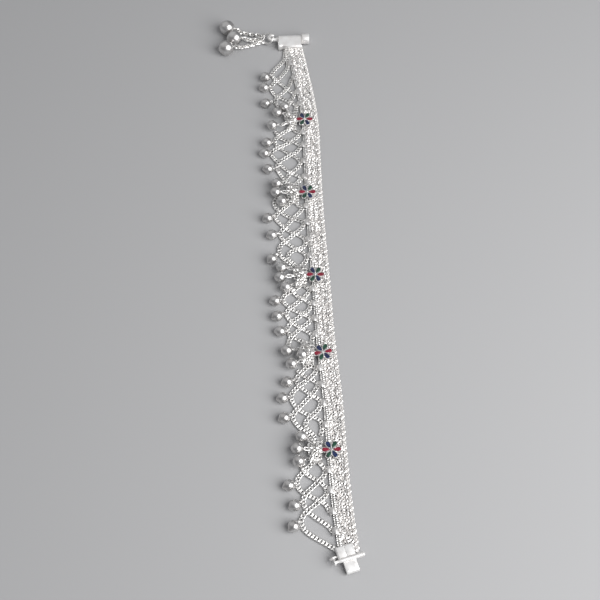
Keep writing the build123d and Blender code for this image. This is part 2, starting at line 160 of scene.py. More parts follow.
def doneEditing():
    bpy.ops.object.mode_set(mode="OBJECT")


def extrudeBy(x, y, z):
    # draws the selection out by so many millimetres
    bpy.ops.mesh.extrude_region_move(TRANSFORM_OT_translate={"value": (x * mm, y * mm, z * mm)})


def shiftBy(x, y, z, **falloff):
    bpy.ops.transform.translate(value=(x * mm, y * mm, z * mm), **falloff)


def turnFacesOut():
    # the last step of an edit: every face looks outwards
    bpy.ops.mesh.select_all(action="SELECT")
    bpy.ops.mesh.normals_make_consistent(inside=False)
    doneEditing()


def settle(piece):
    # puts the piece's place, turn and size into its mesh
    pickOnly(piece)
    bpy.ops.object.transform_apply(location=True, rotation=True, scale=True)


def added():
    # the piece that was just added, with its place and turn in its mesh
    piece = bpy.context.object
    settle(piece)
    return piece


def soften(piece, width, segments, angle=30):
    # rounds the edges that turn by more than the angle
    soft = piece.modifiers.new("soft", "BEVEL")
    soft.width = width * mm
    soft.segments = segments
    soft.limit_method = "ANGLE"
    soft.angle_limit = math.radians(angle)
    pickOnly(piece)
    bpy.ops.object.modifier_apply(modifier="soft")


def thicken(piece, thickness, offset):
    sheet = piece.modifiers.new("sheet", "SOLIDIFY")
    sheet.thickness = thickness * mm
    sheet.offset = offset
    pickOnly(piece)
    bpy.ops.object.modifier_apply(modifier="sheet")


def joined(pieces, name):
    pickOnly(*pieces)
    if len(pieces) > 1:
        bpy.ops.object.join()
    whole = bpy.context.object
    whole.name = name
    whole.data.name = name
    return whole


def copyAt(master, matrix):
    twin = master.copy()
    twin.data = master.data.copy()
    twin.data.transform(matrix)
    bpy.context.collection.objects.link(twin)
    return twin


def moved(piece, matrix):
    piece.data.transform(matrix)
    return piece


def throwAway(piece):
    bpy.data.objects.remove(piece)


def wobble(amount):
    return random.uniform(-amount, amount)


def wobbleTurn(degrees):
    return math.radians(wobble(degrees))


def ring(across, along, wire, segments, wireSegments, upright=False):
    # an oval wire ring round the origin: across is its outer width in X, along its outer length in Y
    bpy.ops.mesh.primitive_torus_add(
        major_segments=segments, minor_segments=wireSegments, rotation=(0, 0, math.pi / segments),
        major_radius=(across - wire) / 2 * mm, minor_radius=wire / 2 * mm,
    )
    hoop = added()
    for side in (1, -1):
        editPoints(hoop, lambda p: p.y * side > 0)
        shiftBy(0, side * (along - across) / 2, 0)
        doneEditing()
    if upright:
        hoop.rotation_euler = (0, math.radians(90), 0)
        settle(hoop)
    return hoop


def frameLink(across, along, wire, corner, wireSegments):
    # a flat rectangular link: a torus of eight segments, each moved out to the rectangle
    sides = 8
    bpy.ops.mesh.primitive_torus_add(
        major_segments=sides, minor_segments=wireSegments,
        major_radius=across / 2 * mm, minor_radius=wire / 2 * mm, rotation=(0, 0, math.pi / sides),
    )
    link = added()
    halfX, halfY = (across - wire) / 2, (along - wire) / 2
    for number in range(sides):
        angle = math.pi / sides + number * 2 * math.pi / sides
        old = Vector((math.cos(angle), math.sin(angle), 0)) * across / 2
        new = Vector((math.copysign(halfX, old.x), math.copysign(halfY - corner, old.y), 0))
        if abs(old.y) > abs(old.x):
            new = Vector((math.copysign(halfX - corner, old.x), math.copysign(halfY, old.y), 0))
        editRun(link, number * wireSegments, wireSegments)
        bpy.ops.transform.translate(value=(new - old) * mm)
        doneEditing()
    return link


def roundedRoute(corners, cut, steps=6):
    # each inner corner becomes a short curve that starts and ends cut millimetres away from it
    longest = 0.48  # of the run that the curve eats into
    route = [corners[0]]
    for before, corner, after in zip(corners, corners[1:], corners[2:]):
        back, ahead = before - corner, after - corner
        start = corner + back.normalized() * min(cut * mm, back.length * longest)
        end = corner + ahead.normalized() * min(cut * mm, ahead.length * longest)
        for i in range(steps + 1):
            t = i / steps
            route.append(start * (1 - t) ** 2 + corner * 2 * t * (1 - t) + end * t ** 2)
    route.append(corners[-1])
    return route


def walk(route, pitch):
    # evenly spaced places along a route, each with the way the route runs there
    total = sum((b - a).length for a, b in zip(route, route[1:]))
    count = max(1, round(total / (pitch * mm)))
    step = total / count
    target, run, places = step / 2, 0.0, []
    for a, b in zip(route, route[1:]):
        length = (b - a).length
        while len(places) < count and target <= run + length + 1e-9:
            way = (b - a).normalized()
            places.append((a + way * (target - run), way))
            target += step
        run += length
    return places


def placed(point, way, roll=0.0, yaw=0.0, grow=1.0):
    # X across the chain, Y along it, Z up; roll is about Y, yaw about Z
    side = way.cross(up).normalized()
    frameTurn = Matrix((side, way, side.cross(way))).transposed().to_4x4()
    own = Matrix.Rotation(yaw, 4, "Z") @ Matrix.Rotation(roll, 4, "Y") @ Matrix.Scale(grow, 4)
    return Matrix.Translation(point) @ frameTurn @ own


def addNode(tree, kind, **values):
    node = tree.nodes.new(kind)
    for key, value in values.items():
        setattr(node, key, value)
    return node


def blotches(tree, scale, detail, stretchBy=(1, 1, 1)):
    place = addNode(tree, "ShaderNodeTexCoord")
    mapping = addNode(tree, "ShaderNodeMapping")
    mapping.inputs["Scale"].default_value = stretchBy
    noise = addNode(tree, "ShaderNodeTexNoise")
    noise.inputs["Scale"].default_value = scale
    noise.inputs["Detail"].default_value = detail
    tree.links.new(place.outputs["Object"], mapping.inputs["Vector"])
    tree.links.new(mapping.outputs["Vector"], noise.inputs["Vector"])
    return noise.outputs["Fac"]


def spread(tree, value, low, high, outLow=0.0, outHigh=1.0):
    node = addNode(tree, "ShaderNodeMapRange")
    node.inputs["From Min"].default_value = low
    node.inputs["From Max"].default_value = high
    node.inputs["To Min"].default_value = outLow
    node.inputs["To Max"].default_value = outHigh
    tree.links.new(value, node.inputs["Value"])
    return node.outputs["Result"]


def mixColour(tree, share, first, second):
    node = addNode(tree, "ShaderNodeMix", data_type="RGBA")
    colourInputs = [s for s in node.inputs if s.type == "RGBA"]
    for socket, value in zip(colourInputs, (first, second)):
        if isinstance(value, tuple):
            socket.default_value = value
        else:
            tree.links.new(value, socket)
    tree.links.new(share, node.inputs["Factor"])
    return [s for s in node.outputs if s.type == "RGBA"][0]


def heightShare(tree, low, high):
    # 0 at low millimetres above the floor, 1 at high
    place = addNode(tree, "ShaderNodeTexCoord")
    parts = addNode(tree, "ShaderNodeSeparateXYZ")
    tree.links.new(place.outputs["Object"], parts.inputs["Vector"])
    return spread(tree, parts.outputs["Z"], low * mm, high * mm)


def addBump(tree, shader, height, strength, depth):
    bump = addNode(tree, "ShaderNodeBump")
    bump.inputs["Strength"].default_value = strength
    bump.inputs["Distance"].default_value = depth
    tree.links.new(height, bump.inputs["Height"])
    tree.links.new(bump.outputs["Normal"], shader.inputs["Normal"])


# what all the silvers share: detail of each noise, and the part of it that is used
silverWear = {
    "wearDetail": 4.0, "wearRange": (0.35, 0.68), "roughScale": 2.3, "roughDetail": 2.0,
    "roughRange": (0.3, 0.7), "grainDetail": 5.0, "bumpDepth": 0.00005,
}


def silver(name, look):
    # pale to warm in blotches, with painted shade: darker towards the floor where the look has a shade colour
    material, tree, shader = newMaterial(name)
    shader.inputs["Metallic"].default_value = look.get("metallic", 1.0)
    wear = blotches(tree, look["blotchScale"], silverWear["wearDetail"])
    bright = mixColour(tree, spread(tree, wear, *silverWear["wearRange"]), look["pale"], look["warm"])
    # painted shade: the shade colour takes over towards the floor, by height
    if "paintedShade" in look:
        bright = mixColour(tree, heightShare(tree, *look["paintedShadeHeights"]), look["paintedShade"], bright)
    tree.links.new(bright, shader.inputs["Base Color"])
    dull = blotches(tree, look["blotchScale"] * silverWear["roughScale"], silverWear["roughDetail"])
    rough = spread(tree, dull, *silverWear["roughRange"], *look["roughness"])
    tree.links.new(rough, shader.inputs["Roughness"])
    stretch = look.get("grainStretch", (1, 1, 1))
    grain = blotches(tree, look["grainScale"], silverWear["grainDetail"], stretch)
    addBump(tree, shader, grain, look["bump"], silverWear["bumpDepth"])
    return material


# a look's shade colour and its two heights are painted shade: below the first height in millimetres the
# silver takes the shade colour, above the second it keeps its own
silverLooks = {
    "bandSilver": {
        "pale": (0.93, 0.92, 0.905, 1), "warm": (0.86, 0.83, 0.81, 1),
        "paintedShade": (0.38, 0.37, 0.365, 1), "paintedShadeHeights": (0.2, 1.2),
        "metallic": 0.8, "roughness": (0.34, 0.48), "blotchScale": 900, "bump": 0.25, "grainScale": 3500,
    },
    "chainSilver": {
        "pale": (0.93, 0.925, 0.91, 1), "warm": (0.85, 0.83, 0.81, 1),
        "paintedShade": (0.30, 0.29, 0.29, 1), "paintedShadeHeights": (0.0, 0.6),
        "roughness": (0.28, 0.42), "blotchScale": 900, "bump": 0.2, "grainScale": 3500,
    },
    # painted shade: the bells' silver is made darker than the other silvers, so they look as if they
    # reflected dark surroundings
    "bellSilver": {
        "pale": (0.76, 0.755, 0.745, 1), "warm": (0.62, 0.60, 0.59, 1),
        "roughness": (0.30, 0.42), "blotchScale": 420, "bump": 0.12, "grainScale": 1600,
    },
    "flowerSilver": {
        "pale": (0.95, 0.945, 0.935, 1), "warm": (0.88, 0.865, 0.855, 1),
        "roughness": (0.28, 0.38), "blotchScale": 800, "bump": 0.15, "grainScale": 3000,
    },
    "claspSilver": {
        "pale": (0.94, 0.935, 0.925, 1), "warm": (0.84, 0.82, 0.805, 1),
        "paintedShade": (0.30, 0.29, 0.285, 1), "paintedShadeHeights": (0.2, 1.5),
        "metallic": 0.55, "roughness": (0.34, 0.50), "blotchScale": 380, "bump": 0.30, "grainScale": 1300,
        "grainStretch": (0.35, 2.5, 1),
    },
    "clipSilver": {
        "pale": (0.88, 0.87, 0.86, 1), "warm": (0.76, 0.745, 0.73, 1),
        "roughness": (0.40, 0.56), "blotchScale": 700, "bump": 0.35, "grainScale": 2200,
    },
}

enamelLooks = {
    "redEnamel": {"dark": (0.17, 0.002, 0.016, 1), "light": (0.33, 0.004, 0.036, 1)},
    "blueEnamel": {"dark": (0.002, 0.005, 0.04, 1), "light": (0.004, 0.022, 0.105, 1)},
    "greenEnamel": {"dark": (0.002, 0.028, 0.016, 1), "light": (0.004, 0.075, 0.036, 1)},
}
enamelGlaze = {
    "cloudScale": 700, "cloudDetail": 3.0, "cloudRange": (0.35, 0.7), "roughRange": (0.3, 0.7),
    "roughness": (0.08, 0.2), "coat": 0.5, "coatRoughness": 0.05, "refraction": 1.55,
    "rippleScale": 1500, "rippleDetail": 2.0, "bump": 0.3, "bumpDepth": 0.00006,
}


def enamel(name, look):
    glaze = enamelGlaze
    material, tree, shader = newMaterial(name)
    cloud = blotches(tree, glaze["cloudScale"], glaze["cloudDetail"])
    colour = mixColour(tree, spread(tree, cloud, *glaze["cloudRange"]), look["dark"], look["light"])
    tree.links.new(colour, shader.inputs["Base Color"])
    rough = spread(tree, cloud, *glaze["roughRange"], *glaze["roughness"])
    tree.links.new(rough, shader.inputs["Roughness"])
    shader.inputs["Coat Weight"].default_value = glaze["coat"]
    shader.inputs["Coat Roughness"].default_value = glaze["coatRoughness"]
    shader.inputs["IOR"].default_value = glaze["refraction"]
    ripple = blotches(tree, glaze["rippleScale"], glaze["rippleDetail"])
    addBump(tree, shader, ripple, glaze["bump"], glaze["bumpDepth"])
    return material


finishes = {name: silver(name, look) for name, look in silverLooks.items()}
finishes.update({name: enamel(name, look) for name, look in enamelLooks.items()})
print("finishes made")


def finishPiece(parts, name, finish, nodes, smoothAngle=50):
    piece = joined(parts, name)
    piece.data.materials.clear()
    piece.data.materials.append(finishes[finish])
    pickOnly(piece)
    bpy.ops.object.shade_smooth_by_angle(angle=math.radians(smoothAngle))
    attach(piece, "root")
    if nodes:
        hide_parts(*nodes)
    faces = sum(len(face.vertices) - 2 for face in piece.data.polygons)
    print(name, faces, "triangles")


# the band: a flat ribbon of painted shade under six columns of rings, a flank towards the nets and a twisted
# rope edge
band = {
    "halfWidth": 4.05, "cut": 20, "steps": 10,
    "route": [
        (-2.9, 146.0), (2.2, 119.0), (5.2, 98.0), (5.9, 70.0), (6.9, 42.0), (9.2, 10.0),
        (10.9, -22.0), (13.6, -46.0), (15.0, -74.0), (16.6, -94.0), (19.1, -114.0),
    ],
}


def bandX(y):
    # the middle line's x at y, in the lay frame
    for (x1, y1), (x2, y2) in zip(band["route"], band["route"][1:]):
        if y >= y2:
            return x1 + (x2 - x1) * (y1 - y) / (y1 - y2)
    return band["route"][-1][0]


bandLine = roundedRoute([lay(x, y) for x, y in band["route"]], band["cut"], band["steps"])


def besideBand(look, offset, stagger=0.0):
    # places along the band's middle line, moved sideways; stagger is a share of the pitch
    pitch = look["pitch"]
    places = walk(bandLine, pitch)
    shifted = []
    for point, way in places[:len(places) - math.ceil(look["trim"] / pitch)]:
        side = way.cross(up).normalized()
        shifted.append((point - side * offset * mm + way * stagger * pitch * mm, way))
    return shifted


# the ribbon is painted shade: a dark sheet low inside the band, where otherwise the floor would show between
# the rings
bandShadeRibbon = {"left": -3.3, "right": 3.1, "low": 0.12, "high": 0.5, "pitch": 4.0, "trim": 2.2}


def makeBandShadeRibbon():
    # a plain flat ribbon inside the mesh: painted shade, a sheet low between the rings that takes the
    # silver's shade colour and hides the floor there
    look = bandShadeRibbon
    bpy.ops.mesh.primitive_plane_add(size=mm)
    ribbon = bpy.context.object
    editPoints(ribbon, lambda p: p.y > 0)
    bpy.ops.mesh.delete(type="VERT")
    doneEditing()
    places = [point for point, _ in besideBand(look, 0.0)]
    for point, x in zip(ribbon.data.vertices, (look["left"], look["right"])):
        point.co = places[0] + Vector((x, 0, look["low"])) * mm
    editPoints(ribbon, lambda p: True)
    for before, after in zip(places, places[1:]):
        bpy.ops.mesh.extrude_region_move(TRANSFORM_OT_translate={"value": after - before})
    bpy.ops.mesh.select_all(action="SELECT")
    extrudeBy(0, 0, look["high"] - look["low"])
    turnFacesOut()
    return ribbon


bandMesh = {
    "columns": 6, "first": -2.50, "gap": 0.97, "pitch": 1.36, "trim": 2.0, "z": 1.16,
    "link": {"across": 1.75, "along": 1.95, "wire": 0.60, "segments": 10, "wireSegments": 4},
    "lean": 24, "leanSpread": 30, "yaw": 12, "yawSpread": 40,  # degrees
    "sideSpread": 0.4, "alongSpread": 0.35, "rise": 0.16, "grow": (0.93, 1.06),
}


def makeBandChains():
    # columns of rings that lean left and right in turn, each column half a link on from its neighbour
    look = bandMesh
    master = ring(**look["link"])
    links = [makeBandShadeRibbon()]
    for column in range(look["columns"]):
        way = 1 - 2 * (column % 2)
        offset = look["first"] + look["gap"] * column
        for point, ahead in besideBand(look, offset, 0.5 * (column % 2)):
            roll = math.radians(look["lean"] * way + wobble(1) * look["leanSpread"])
            yaw = math.radians(look["yaw"] * way + wobble(1) * look["yawSpread"])
            rise = look["z"] + wobble(1) * look["rise"]
            away = Vector((wobble(look["sideSpread"]), wobble(look["alongSpread"]), rise)) * mm
            grow = random.uniform(*look["grow"])
            links.append(copyAt(master, placed(point + away, ahead, roll, yaw, grow)))
    throwAway(master)
    finishPiece(links, "bandChains", "bandSilver", ["band_chains"], smoothAngle=80)


bandFlank = {
    "offset": -3.35, "pitch": 0.92, "trim": 2.0, "z": 1.05, "lean": 30, "leanSpread": 5,
    "link": {"across": 1.95, "along": 2.0, "wire": 0.60, "segments": 10, "wireSegments": 4},
}


def makeBandFlank():
    look = bandFlank
    master = ring(**look["link"])
    links = []
    for point, way in besideBand(look, look["offset"]):
        roll = math.radians(look["lean"] + wobble(look["leanSpread"]))
        links.append(copyAt(master, placed(point + up * look["z"] * mm, way, roll)))
    throwAway(master)
    finishPiece(links, "bandFlank", "chainSilver", ["band_flank"], smoothAngle=80)


bandRope = {
    "offset": 3.12, "pitch": 0.62, "trim": 1.4, "z": 1.05, "strand": 0.50, "lay": 4.6, "lean": 45, "yaw": 26,
    "link": {"across": 1.25, "along": 1.7, "wire": 0.5, "segments": 8, "wireSegments": 4},
}


def makeBandRope():
    # two strands of rings laid round each other
    look = bandRope
    master = ring(**look["link"])
    links = []
    places = besideBand(look, look["offset"])
    for strand in (0, 1):
        for i, (point, way) in enumerate(places):
            turn = 2 * math.pi * (i * look["pitch"] / look["lay"] + strand / 2)
            side = way.cross(up).normalized()
            shift = (side * math.cos(turn) + up * math.sin(turn)) * look["strand"] * mm
            yaw = -math.sin(turn) * math.radians(look["yaw"])
            roll = turn + math.radians(look["lean"])
            links.append(copyAt(master, placed(point + shift + up * look["z"] * mm, way, roll, yaw)))
    throwAway(master)
    finishPiece(links, "bandRope", "bandSilver", ["band_rope"], smoothAngle=80)


makeBandChains()
makeBandFlank()
makeBandRope()
print("band done")

# the nets: box chain laid in crossing strands between the flowers
net = {
    "footReach": 1.15,
    "feet": [  # y of each net's four corners on the band
        (134.6, 125.2, 116.0, 108.7),
        (91.4, 83.6, 74.2, 65.2),
        (48.6, 39.7, 30.6, 21.8),
        (4.8, -2.5, -10.0, -17.8),
        (-33.7, -41.3, -49.7, -59.3),
        (-78.9, -87.3, -95.9, -103.9),
    ],
    "strands": [  # per net: first foot, bends, last foot; None for a free end
        [
            (None, [(-7.2, 144.7), (-7.4, 142.2), (-7.6, 138.2), (-9.4, 135.1), (-11.9, 132.4),
                (-13.6, 129.8), (-13.7, 127.1), (-11.3, 124.1), (-4.2, 117.0)], 2),
            (0, [(-5.9, 132.4), (-9.4, 126.7), (-13.5, 122.0), (-14.3, 119.5),
                (-13.3, 116.4), (-11.2, 114.1), (-5.8, 111.6)], 3),
            (1, [(-4.8, 122.0), (-6.4, 118.6), (-10.5, 114.4), (-11.8, 112.4),
                (-11.9, 110.2), (-10.2, 107.7), (-4.3, 103.7)], None),
            (2, [(-3.6, 113.1), (-5.1, 109.9), (-7.0, 106.8)], None),
            (3, [(-2.5, 103.4)], None),
            (None, [(-6.9, 144.3), (-6.7, 141.4), (-6.2, 138.9)], 0),
        ],
        [
            (None, [(-4.1, 94.5), (-9.1, 91.0), (-10.9, 89.1), (-12.0, 87.1),
                (-11.6, 84.7), (-5.2, 79.2), (-1.6, 77.2)], 2),
            (0, [(-1.2, 89.1), (-3.6, 87.0), (-8.5, 83.5), (-11.1, 82.2), (-13.2, 80.6),
                (-13.5, 78.7), (-12.2, 76.4), (-5.6, 68.8), (-1.6, 66.8)], 3),
            (1, [(-0.7, 81.3), (-2.6, 79.5), (-7.5, 76.3), (-9.7, 74.5), (-10.8, 72.3),
                (-10.4, 69.4), (-8.9, 66.6), (-7.0, 64.1), (-3.0, 60.6)], None),
            (None, [(-11.7, 92.7), (-10.1, 89.6), (-8.1, 87.5), (-2.8, 86.3), (-0.9, 85.1)], 1),
            (2, [(-0.4, 72.2), (-1.6, 70.4), (-3.7, 68.5), (-5.4, 66.6), (-7.6, 61.8)], None),
            (None, [(-3.0, 60.6), (-1.4, 62.1)], 3),
            (None, [(-4.1, 94.5), (-1.9, 92.7)], 0),
        ],
        [
            (None, [(-2.8, 52.6), (-4.6, 51.1), (-6.1, 49.0), (-10.3, 45.2), (-11.5, 43.3),
                (-10.4, 41.1), (-6.3, 36.8), (-4.3, 35.2), (0.0, 33.2), (1.6, 31.9)], 2),
            (0, [(0.5, 46.6), (-3.4, 42.2), (-5.0, 39.7), (-8.3, 35.7), (-9.1, 33.6),
                (-8.0, 31.4), (-5.8, 29.0), (-1.3, 25.8), (0.9, 24.6), (2.5, 23.2)], 3),
            (1, [(1.3, 37.7), (-2.5, 33.8), (-8.5, 28.2), (-9.4, 25.9),
                (-8.9, 23.2), (-7.5, 20.9), (-3.1, 17.1)], None),
            (None, [(-9.1, 54.8), (-11.0, 53.4), (-12.0, 51.1), (-11.4, 48.5), (-9.6, 46.7),
                (-5.0, 43.1), (-2.7, 42.1), (-0.5, 41.5), (1.1, 40.7)], 1),
            (2, [(2.5, 28.2), (0.9, 26.4), (-3.8, 24.8), (-5.3, 23.0),
                (-5.2, 20.6), (-3.5, 18.6), (-1.3, 17.1)], None),
            (3, [(2.9, 19.8), (0.2, 16.6)], None),
            (None, [(-2.8, 52.6), (-1.4, 50.5), (0.2, 48.9)], 0),
        ],
        [
            (None, [(0.9, 7.8), (-1.1, 5.8), (-3.3, 4.0), (-5.8, 2.8), (-7.4, 1.2),
                (-7.4, -1.0), (-5.6, -3.1), (-3.5, -4.8), (-1.3, -6.1), (3.0, -8.1)], 2),
            (0, [(3.3, 2.6), (1.3, 0.5), (-5.0, -5.2), (-6.2, -7.3),
                (-4.9, -9.7), (-2.8, -11.9), (-0.6, -13.6), (3.8, -16.1)], 3),
            (1, [(4.1, -4.9), (2.4, -6.8), (-2.2, -10.2), (-4.1, -12.1), (-5.6, -14.4),
                (-5.1, -16.6), (-3.2, -18.4), (-0.9, -19.8), (3.8, -21.9)], None),
            (None, [(-3.9, 5.5), (-2.6, 3.2), (-0.9, 1.2), (3.3, -0.9)], 1),
            (2, [(3.7, -11.6), (-0.2, -14.8), (-3.6, -18.4), (-4.6, -20.4), (-5.1, -22.8)], None),
            (3, [(5.2, -19.9), (4.7, -21.9)], None),
            (None, [(0.9, 7.8), (2.6, 6.5)], 0),
        ],
        [
            (None, [(3.6, -32.3), (-1.3, -37.4), (-1.7, -39.3), (-0.2, -41.7),
                (2.1, -43.8), (6.7, -46.8), (8.3, -48.1)], 2),
            (0, [(6.5, -35.4), (4.8, -37.3), (-1.5, -42.7), (-3.4, -44.9), (-3.7, -47.0),
                (-2.5, -50.2), (-0.4, -52.3), (2.0, -53.9), (6.5, -55.9), (8.3, -57.0)], 3),
            (1, [(6.6, -42.6), (6.1, -44.3), (-1.8, -53.0), (-3.2, -55.0),
                (-2.4, -57.3), (-0.6, -59.8), (3.6, -63.9)], None),
            (None, [(-1.0, -34.4), (0.8, -36.6), (5.2, -38.7), (7.1, -40.0)], 1),
            (2, [(7.8, -52.0), (5.9, -54.2), (2.0, -57.8), (2.4, -60.0), (4.3, -62.4), (6.1, -64.1)], None),
            (3, [(8.9, -62.0), (8.2, -63.9)], None),
            (None, [(3.6, -32.3), (5.5, -32.5)], 0),
        ],
        [
            (None, [(6.4, -74.1), (0.6, -80.2), (-0.9, -82.1), (-1.3, -84.4),
                (-0.2, -86.9), (2.0, -88.5), (9.0, -91.8), (10.8, -93.6)], 2),
            (0, [(9.3, -81.7), (3.2, -87.3), (1.8, -89.3), (1.1, -91.8),
                (2.2, -94.6), (4.5, -97.1), (9.7, -100.5), (11.6, -102.1)], 3),
            (1, [(10.0, -89.7), (3.5, -95.0), (1.5, -97.0), (0.2, -99.5),
                (1.4, -102.9), (3.9, -105.1), (14.1, -111.0)], None),
            (None, [(1.2, -74.9), (0.8, -77.2), (1.8, -79.6), (4.2, -81.4), (9.1, -84.2)], 1),
            (None, [(6.4, -74.1), (8.4, -76.0), (9.8, -77.9)], 0),
        ],
    ],
    "pitch": 1.5, "rounding": 99,  # more than any run is long: the bends are as round as they can be
    "z": 0.57, "hop": 0.6, "hopReach": 2.2,  # a strand rises where it crosses another
    "rollSpread": 6, "grow": (0.98, 1.03),
    "link": {"across": 2.22, "along": 1.84, "wire": 0.68, "corner": 0.14, "wireSegments": 5},
    "upright": {
        "across": 0.92, "along": 1.10, "wire": 0.40, "segments": 8, "wireSegments": 4, "upright": True,
    },
}


def edgePoint(y):
    # where a net's corner meets the band
    return lay(bandX(y) - band["halfWidth"] - net["footReach"], y)


def makeBoxLink():
    flat = frameLink(**net["link"])
    upright = ring(**net["upright"])
    upright.location.y = net["pitch"] / 2 * mm
    settle(upright)
    return joined([flat, upright], "boxLink")


def routesOf(index):
    feet = [edgePoint(y) for y in net["feet"][index]]
    routes = []
    for first, bends, last in net["strands"][index]:
        start = [] if first is None else [feet[first]]
        end = [] if last is None else [feet[last]]
        routes.append(start + [lay(x, y) for x, y in bends] + end)
    return routes


def makeNets():
    master = makeBoxLink()
    for index in range(len(net["feet"])):
        links, laid = [], []
        for corners in routesOf(index):
            places = walk(roundedRoute(corners, net["rounding"]), net["pitch"])
            lifted = []
            for point, way in places:
                near = min(((point - other).length / mm for other in laid), default=net["hopReach"])
                rise = net["hop"] * max(0.0, 1 - near / net["hopReach"])
                lifted.append(point + up * (net["z"] + rise) * mm)
            for i, (point, way) in enumerate(places):
                ahead = lifted[min(i + 1, len(lifted) - 1)] - lifted[max(i - 1, 0)]
                way = ahead.normalized() if ahead.length > 0 else way
                roll = wobbleTurn(net["rollSpread"])
                grow = random.uniform(*net["grow"])
                links.append(copyAt(master, placed(lifted[i], way, roll, 0, grow)))
            laid += [point for point, _ in places]
        name, node = f"net{index + 1}", f"net_{index + 1}"
        finishPiece(links, name, "chainSilver", [node], smoothAngle=80)
    throwAway(master)


makeNets()
print("nets done")

# folded clips that hold the nets' corners to the band
clip = {
    "length": 2.9, "halfWidth": 1.55, "top": 2.55, "foot": 0.30, "shift": 1.20,
    "sheet": 0.32, "edge": 0.10, "vertices": 20, "cuts": 2,
    "furrow": (0.62, 0.2, 1.2, 0.22),  # x, half width, half length and depth
    "mouth": {"from": 1.3, "size": (0.86, 1, 0.9)},  # both ends of the fold are drawn in
    "grow": (0.95, 1.05), "yawSpread": 5,
}


def makeClipMaster():
    # an arched strip: the top of an open tube
    bpy.ops.mesh.primitive_cylinder_add(
        vertices=clip["vertices"], radius=mm, depth=clip["length"] * mm, end_fill_type="NOTHING",
        rotation=(math.radians(90), 0, 0),
    )
    fold = added()
    fold.scale = (clip["halfWidth"], 1, clip["top"] - clip["foot"])
    settle(fold)
    editFaces(fold, lambda c, n: c.z < 0)
    bpy.ops.mesh.delete(type="FACE")
    bpy.ops.mesh.select_all(action="SELECT")
    bpy.ops.mesh.subdivide(number_cuts=clip["cuts"])
    doneEditing()
    x, halfWidth, halfLength, depth = clip["furrow"]
    editPoints(fold, lambda p: abs(p.x - x) < halfWidth and abs(p.y) < halfLength)
    shiftBy(0, 0, -depth)
    doneEditing()
    editPoints(fold, lambda p: abs(p.y) > clip["mouth"]["from"])
    bpy.ops.transform.resize(value=clip["mouth"]["size"], center_override=(0, 0, 0))
    doneEditing()
    fold.location.z = clip["foot"] * mm
    settle(fold)
    thicken(fold, clip["sheet"], offset=-1)
    soften(fold, clip["edge"], segments=2, angle=40)
    return fold


def makeClips():
    master = makeClipMaster()
    clips = []
    for y in sum(net["feet"], ()):
        foot = edgePoint(y)
        way = (edgePoint(y + 1) - foot).normalized()
        grow = random.uniform(*clip["grow"])
        yaw = wobbleTurn(clip["yawSpread"])
        clips.append(copyAt(master, placed(foot + Vector((clip["shift"] * mm, 0, 0)), way, 0, yaw, grow)))
    throwAway(master)
    finishPiece(clips, "netClips", "clipSilver", [])


makeClips()
print("clips done")

bell = {
    "segments": 32, "rings": 20, "edgeTip": 0.55, "tip": 0.22, "tipShare": 0.62,
    "slit": {"from": 0.35, "angle": -5.6, "spread": 5, "rim": 0.03, "lip": -0.02, "depth": 0.4},
    "loop": {"across": 1.4, "along": 1.4, "wire": 0.42, "segments": 12, "wireSegments": 6}, "loopSunk": 0.25,
    "collar": {"radius": 0.5, "height": 0.36, "place": 0.05, "inset": 0.16, "rise": 0.1, "vertices": 14},
    "topBand": 0.02, "loopClear": 0.2,  # which of a solid's points are its top, and which its loop
    "rollSpread": 50,
}
jumpRing = {
    "across": 1.6, "wire": 0.42, "segments": 14, "wireSegments": 6,
    "least": 1.7, "spare": 0.85, "grip": 0.45, "rollSpread": 25,
}
edgeHold = {
    "z": 0.95,
    "corners": [  # x, y of the chain's corner that each edge bell hangs on
        (-13.7, 127.1), (-14.3, 119.5), (-11.9, 110.2), (-11.6, 84.7), (-13.5, 78.7), (-10.4, 69.4),
        (-11.5, 43.3), (-9.1, 33.6), (-8.9, 23.2), (-7.4, -1.0), (-6.2, -7.3), (-5.1, -16.6),
        (-1.7, -39.3), (-3.7, -47.0), (-3.2, -55.0), (-1.3, -84.4), (1.1, -91.8), (0.2, -99.5),
    ],
}
clusterHold = {"bells": 15, "reach": 2.6, "drop": 0.5}


def bellPlace(node):
    # the ball's middle and the way its loop points, read from the solid's own points
    low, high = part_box(node)
    points = [v.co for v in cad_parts[node].data.vertices]
    tops = [p for p in points if p.z > high.z - bell["topBand"] * mm]
    middle = sum(tops, Vector()) / len(tops)
    radius = (high.z - low.z) / 2
    middle.z = low.z + radius
    loop = [p for p in points if (p - middle).length > radius + bell["loopClear"] * mm]
    way = (sum(loop, Vector()) / len(loop) - middle).normalized()
    return middle, way, radius


def inSlit(centre, size):
    # the faces of one row under the tip, by their angle from straight below
    slit = bell["slit"]
    angle = math.degrees(math.atan2(centre.x, abs(centre.z)))
    underTip = centre.y < -size * slit["from"] and centre.z < 0
    return underTip and abs(angle - slit["angle"]) < slit["spread"]


